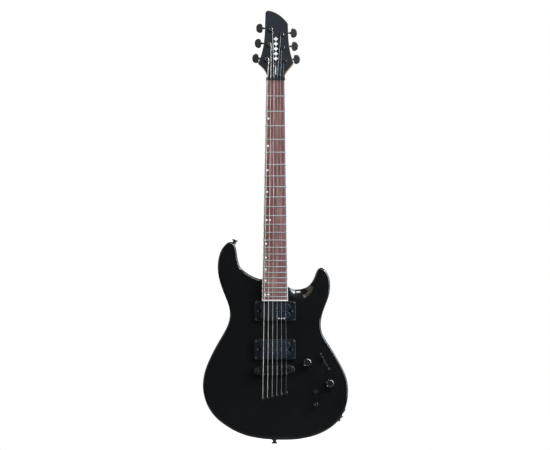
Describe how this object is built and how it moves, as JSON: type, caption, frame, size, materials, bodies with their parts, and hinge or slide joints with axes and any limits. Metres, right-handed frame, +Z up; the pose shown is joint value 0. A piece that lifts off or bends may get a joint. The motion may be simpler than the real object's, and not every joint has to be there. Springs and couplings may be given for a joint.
{
  "type": "electric guitar",
  "caption": "Solid-body electric guitar with offset horns, arched rosewood board, tilted headstock, strings through the body, and working keys, knobs and switches.",
  "frame": {"origin": "seat of the end strap button, on the centre line at the middle of the body's thickness", "axes": "+X to the treble side seen from the front, +Z up the neck, the front faces -Y"},
  "size_m": [0.3258, 0.0582, 0.9723],
  "materials": {
    "body_lacquer": "black gloss lacquer",
    "neck_wood": "satin",
    "headstock_black": "satin black",
    "fretboard_wood": "open-grain oiled",
    "binding_cream": "satin",
    "fret_metal": "polished",
    "dot_white": "gloss",
    "nut_black": "satin",
    "steel": "satin",
    "black_plastic": "satin",
    "black_hardware": "black plated, semi-gloss",
    "black_screws": "black oxide",
    "pickup_black": "satin gloss",
    "pole_metal": "blackened",
    "knob_black": "black plated, gloss",
    "lever_black": "gloss",
    "cover_black": "matte",
    "board_green": "solder mask",
    "battery_case": "printed sleeve",
    "wound_string": "nickel wound",
    "plain_string": "bright"
  },
  "bodies": {
    "instrument": {"body": "body_lacquer", "neck": "neck_wood", "headstock_face": "headstock_black", "fretboard": "fretboard_wood", "fretboard_binding": "binding_cream", "frets": "fret_metal", "fret_dots": "dot_white", "nut": "nut_black", "truss_rod": "steel", "truss_rod_cover": "black_plastic", "tuner_housings": "black_hardware", "tuner_bushings": "black_hardware", "pickup_rings": "black_plastic", "bridge_base": "black_hardware", "bridge_studs": "black_hardware", "intonation_screws": "black_screws", "ferrules": "black_hardware", "string_1": "wound_string", "string_2": "wound_string", "string_3": "wound_string", "string_4": "plain_string", "string_5": "plain_string", "string_6": "plain_string", "potentiometers": "steel", "selector_switch": "steel", "toggle_switches": "black_hardware", "jack_plate": "black_hardware", "output_jack": "steel", "control_cover": "cover_black", "circuit_board": "board_green", "battery": "battery_case", "strap_buttons": "black_hardware", "small_screws": "black_screws", "neck_screws": "black_screws"},
    "key_1": {"tuner_key_1": "black_hardware"},
    "post_1": {"tuner_post_1": "black_hardware"},
    "key_2": {"tuner_key_2": "black_hardware"},
    "post_2": {"tuner_post_2": "black_hardware"},
    "key_3": {"tuner_key_3": "black_hardware"},
    "post_3": {"tuner_post_3": "black_hardware"},
    "key_4": {"tuner_key_4": "black_hardware"},
    "post_4": {"tuner_post_4": "black_hardware"},
    "key_5": {"tuner_key_5": "black_hardware"},
    "post_5": {"tuner_post_5": "black_hardware"},
    "key_6": {"tuner_key_6": "black_hardware"},
    "post_6": {"tuner_post_6": "black_hardware"},
    "volume_control": {"volume_knob": "knob_black"},
    "tone_control": {"tone_knob": "knob_black"},
    "selector": {"selector_lever": "lever_black"},
    "toggle_1": {"toggle_bat_1": "black_hardware"},
    "toggle_2": {"toggle_bat_2": "black_hardware"},
    "saddle_1_body": {"saddle_1": "black_hardware"},
    "saddle_2_body": {"saddle_2": "black_hardware"},
    "saddle_3_body": {"saddle_3": "black_hardware"},
    "saddle_4_body": {"saddle_4": "black_hardware"},
    "saddle_5_body": {"saddle_5": "black_hardware"},
    "saddle_6_body": {"saddle_6": "black_hardware"},
    "neck_pickup_body": {"neck_pickup": "pickup_black"},
    "bridge_pickup_body": {"bridge_pickup": "pickup_black", "bridge_pickup_poles": "pole_metal"}
  },
  "joints": [
    {"name": "key_1_turn", "type": "hinge", "parent": "instrument", "child": "key_1", "pos_m": [-0.0453, 0.00359, 0.85539], "axis": [-1, 0, 0], "continuous": true},
    {"name": "post_1_turn", "type": "hinge", "parent": "instrument", "child": "post_1", "pos_m": [-0.0193, -0.01693, 0.8519], "axis": [0, -0.9848, 0.1736], "continuous": true},
    {"name": "key_2_turn", "type": "hinge", "parent": "instrument", "child": "key_2", "pos_m": [-0.0399, 0.0096, 0.88949], "axis": [-1, 0, 0], "continuous": true},
    {"name": "post_2_turn", "type": "hinge", "parent": "instrument", "child": "post_2", "pos_m": [-0.0139, -0.01092, 0.886], "axis": [0, -0.9848, 0.1736], "continuous": true},
    {"name": "key_3_turn", "type": "hinge", "parent": "instrument", "child": "key_3", "pos_m": [-0.0368, 0.01561, 0.92359], "axis": [-1, 0, 0], "continuous": true},
    {"name": "post_3_turn", "type": "hinge", "parent": "instrument", "child": "post_3", "pos_m": [-0.0108, -0.0049, 0.9201], "axis": [0, -0.9848, 0.1736], "continuous": true},
    {"name": "key_4_turn", "type": "hinge", "parent": "instrument", "child": "key_4", "pos_m": [0.0408, 0.01375, 0.91299], "axis": [1, 0, 0], "continuous": true},
    {"name": "post_4_turn", "type": "hinge", "parent": "instrument", "child": "post_4", "pos_m": [0.0148, -0.00677, 0.9095], "axis": [0, -0.9848, 0.1736], "continuous": true},
    {"name": "key_5_turn", "type": "hinge", "parent": "instrument", "child": "key_5", "pos_m": [0.043, 0.00846, 0.88299], "axis": [1, 0, 0], "continuous": true},
    {"name": "post_5_turn", "type": "hinge", "parent": "instrument", "child": "post_5", "pos_m": [0.017, -0.01206, 0.8795], "axis": [0, -0.9848, 0.1736], "continuous": true},
    {"name": "key_6_turn", "type": "hinge", "parent": "instrument", "child": "key_6", "pos_m": [0.0475, 0.00327, 0.85359], "axis": [1, 0, 0], "continuous": true},
    {"name": "post_6_turn", "type": "hinge", "parent": "instrument", "child": "post_6", "pos_m": [0.0215, -0.01725, 0.8501], "axis": [0, -0.9848, 0.1736], "continuous": true},
    {"name": "volume_turn", "type": "hinge", "parent": "instrument", "child": "volume_control", "pos_m": [0.073, -0.021, 0.174], "axis": [0, -1, 0], "range_deg": [-280, 0]},
    {"name": "tone_turn", "type": "hinge", "parent": "instrument", "child": "tone_control", "pos_m": [0.124, -0.021, 0.127], "axis": [0, -1, 0], "range_deg": [-280, 0]},
    {"name": "selector_tilt", "type": "hinge", "parent": "instrument", "child": "selector", "pos_m": [0.11185, 0.002, 0.1757], "axis": [-0.877, 0, -0.4805], "range_deg": [-36, 0]},
    {"name": "toggle_1_tilt", "type": "hinge", "parent": "instrument", "child": "toggle_1", "pos_m": [0.0917, -0.021, 0.1072], "axis": [0, 0, 1], "range_deg": [0, 24]},
    {"name": "toggle_2_tilt", "type": "hinge", "parent": "instrument", "child": "toggle_2", "pos_m": [0.092, -0.021, 0.0787], "axis": [0, 0, 1], "range_deg": [0, 24]},
    {"name": "saddle_1_slide", "type": "slide", "parent": "instrument", "child": "saddle_1_body", "axis": [-0.0523, 0, 0.9986], "range_m": [-0.003, 0.003], "deforming": ["string_1"]},
    {"name": "saddle_2_slide", "type": "slide", "parent": "instrument", "child": "saddle_2_body", "axis": [-0.0523, 0, 0.9986], "range_m": [-0.003, 0.003], "deforming": ["string_2"]},
    {"name": "saddle_3_slide", "type": "slide", "parent": "instrument", "child": "saddle_3_body", "axis": [-0.0523, 0, 0.9986], "range_m": [-0.003, 0.003], "deforming": ["string_3"]},
    {"name": "saddle_4_slide", "type": "slide", "parent": "instrument", "child": "saddle_4_body", "axis": [-0.0523, 0, 0.9986], "range_m": [-0.003, 0.003], "deforming": ["string_4"]},
    {"name": "saddle_5_slide", "type": "slide", "parent": "instrument", "child": "saddle_5_body", "axis": [-0.0523, 0, 0.9986], "range_m": [-0.003, 0.003], "deforming": ["string_5"]},
    {"name": "saddle_6_slide", "type": "slide", "parent": "instrument", "child": "saddle_6_body", "axis": [-0.0523, 0, 0.9986], "range_m": [-0.003, 0.003], "deforming": ["string_6"]},
    {"name": "neck_pickup_height", "type": "slide", "parent": "instrument", "child": "neck_pickup_body", "axis": [0, -1, 0], "range_m": [-0.003, 0.0015]},
    {"name": "bridge_pickup_height", "type": "slide", "parent": "instrument", "child": "bridge_pickup_body", "axis": [0, -1, 0], "range_m": [-0.003, 0.0015]}
  ],
  "couplings": [
    {"joint": "post_1_turn", "follows": "key_1_turn", "ratio": 0.071429},
    {"joint": "post_2_turn", "follows": "key_2_turn", "ratio": 0.071429},
    {"joint": "post_3_turn", "follows": "key_3_turn", "ratio": 0.071429},
    {"joint": "post_4_turn", "follows": "key_4_turn", "ratio": 0.071429},
    {"joint": "post_5_turn", "follows": "key_5_turn", "ratio": 0.071429},
    {"joint": "post_6_turn", "follows": "key_6_turn", "ratio": 0.071429}
  ]
}
